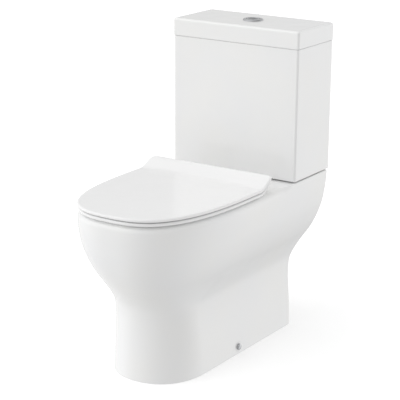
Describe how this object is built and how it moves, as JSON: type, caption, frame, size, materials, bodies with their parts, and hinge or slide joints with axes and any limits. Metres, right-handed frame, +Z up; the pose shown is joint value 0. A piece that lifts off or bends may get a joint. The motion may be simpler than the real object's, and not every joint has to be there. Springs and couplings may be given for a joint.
{
  "type": "close coupled toilet",
  "caption": "Floor-standing glazed ceramic toilet with a cistern mounted on the pan, a hinged seat and lid, and a push-button dual flush.",
  "frame": {"origin": "on the floor, under the middle of the object's outline", "axes": "+Z up; +Y towards the wall behind the cistern; the bowl and seat face -Y; +X to the right when looking towards the wall"},
  "size_m": [0.36, 0.692, 0.7855],
  "materials": {
    "glazed_ceramic": "glossy white glaze",
    "seat_plastic": "glossy white",
    "chrome": "polished",
    "inner_plastic": "satin off-white",
    "blue_plastic": "satin blue",
    "grey_plastic": "satin grey",
    "rubber": "matt black",
    "buffer_rubber": "matt white",
    "steel": "satin zinc"
  },
  "bodies": {
    "pan_and_cistern": {"pan": "glazed_ceramic", "cistern": "glazed_ceramic", "hinge_post_left": "chrome", "hinge_post_right": "chrome", "side_cap_left": "chrome", "side_cap_right": "chrome", "flush_valve_body": "inner_plastic", "flush_valve_nut": "inner_plastic", "fill_valve_body": "inner_plastic", "fill_valve_nut": "inner_plastic", "coupling_nut_left": "inner_plastic", "coupling_nut_right": "inner_plastic", "hinge_nut_left": "inner_plastic", "hinge_nut_right": "inner_plastic", "floor_bracket_left": "inner_plastic", "floor_bracket_right": "inner_plastic", "flush_valve_washer": "rubber", "coupling_seal": "rubber", "fill_valve_washer": "rubber", "coupling_washer_left": "rubber", "coupling_washer_right": "rubber", "coupling_bolt_left": "steel", "coupling_bolt_right": "steel", "hinge_bolt_left": "steel", "hinge_bolt_right": "steel", "floor_screw_left": "steel", "floor_screw_right": "steel", "side_screw_left": "steel", "side_screw_right": "steel"},
    "ring": {"seat_ring": "seat_plastic", "hinge_pin_left": "steel", "hinge_pin_right": "steel", "ring_buffer_front_left": "buffer_rubber", "ring_buffer_front_right": "buffer_rubber", "ring_buffer_rear_left": "buffer_rubber", "ring_buffer_rear_right": "buffer_rubber"},
    "seat_cover": {"seat_lid": "seat_plastic", "lid_buffer_left": "buffer_rubber", "lid_buffer_right": "buffer_rubber"},
    "cistern_cover": {"cistern_lid": "glazed_ceramic", "button_bezel": "chrome", "button_nut": "inner_plastic", "button_spring_small": "steel", "button_spring_large": "steel"},
    "small_button": {"button_small": "chrome", "push_rod_small": "inner_plastic"},
    "large_button": {"button_large": "chrome", "push_rod_large": "inner_plastic"},
    "lever": {"flush_lever": "grey_plastic"},
    "flush_seal_and_tube": {"overflow_tube": "blue_plastic", "flush_seal": "rubber"},
    "slider": {"part_flush_slider": "grey_plastic"},
    "float": {"float_cup": "blue_plastic"},
    "arm": {"float_arm": "grey_plastic"}
  },
  "joints": [
    {"name": "seat_ring_hinge", "type": "hinge", "parent": "pan_and_cistern", "child": "ring", "pos_m": [0, 0.074, 0.423], "axis": [1, 0, 0], "range_deg": [-95, 0]},
    {"name": "seat_lid_hinge", "type": "hinge", "parent": "ring", "child": "seat_cover", "pos_m": [0, 0.074, 0.423], "axis": [-1, 0, 0], "range_deg": [0, 100]},
    {"name": "cistern_lid_lift", "type": "slide", "parent": "pan_and_cistern", "child": "cistern_cover", "axis": [0, 0, 1], "range_m": [0, 0.15]},
    {"name": "small_button_press", "type": "slide", "parent": "cistern_cover", "child": "small_button", "axis": [0, 0, 1], "range_m": [-0.008, 0], "stiffness_N_per_m": 250, "springref_m": 0.004, "deforming": ["button_spring_small"]},
    {"name": "large_button_press", "type": "slide", "parent": "cistern_cover", "child": "large_button", "axis": [0, 0, 1], "range_m": [-0.008, 0], "stiffness_N_per_m": 250, "springref_m": 0.004, "deforming": ["button_spring_large"]},
    {"name": "flush_lever_turn", "type": "hinge", "parent": "pan_and_cistern", "child": "lever", "pos_m": [0.026, 0.26, 0.585], "axis": [0, -1, 0], "range_deg": [0, 26.6]},
    {"name": "flush_valve_lift", "type": "slide", "parent": "pan_and_cistern", "child": "flush_seal_and_tube", "axis": [0, 0, 1], "range_m": [0, 0.0097]},
    {"name": "part_flush_slide", "type": "slide", "parent": "pan_and_cistern", "child": "slider", "axis": [0, 0, 1], "range_m": [-0.0081, 0]},
    {"name": "float_rise", "type": "slide", "parent": "pan_and_cistern", "child": "float", "axis": [0, 0, 1], "range_m": [0, 0.03]},
    {"name": "float_arm_swing", "type": "hinge", "parent": "pan_and_cistern", "child": "arm", "pos_m": [-0.125, 0.239, 0.65], "axis": [-1, 0, 0], "range_deg": [0, 40.5]}
  ],
  "couplings": [
    {"joint": "flush_lever_turn", "follows": "large_button_press", "rad_per_m": -57.6},
    {"joint": "flush_valve_lift", "follows": "large_button_press", "ratio": -1.2},
    {"joint": "part_flush_slide", "follows": "small_button_press", "ratio": 1},
    {"joint": "float_arm_swing", "follows": "float_rise", "rad_per_m": 23.27}
  ]
}
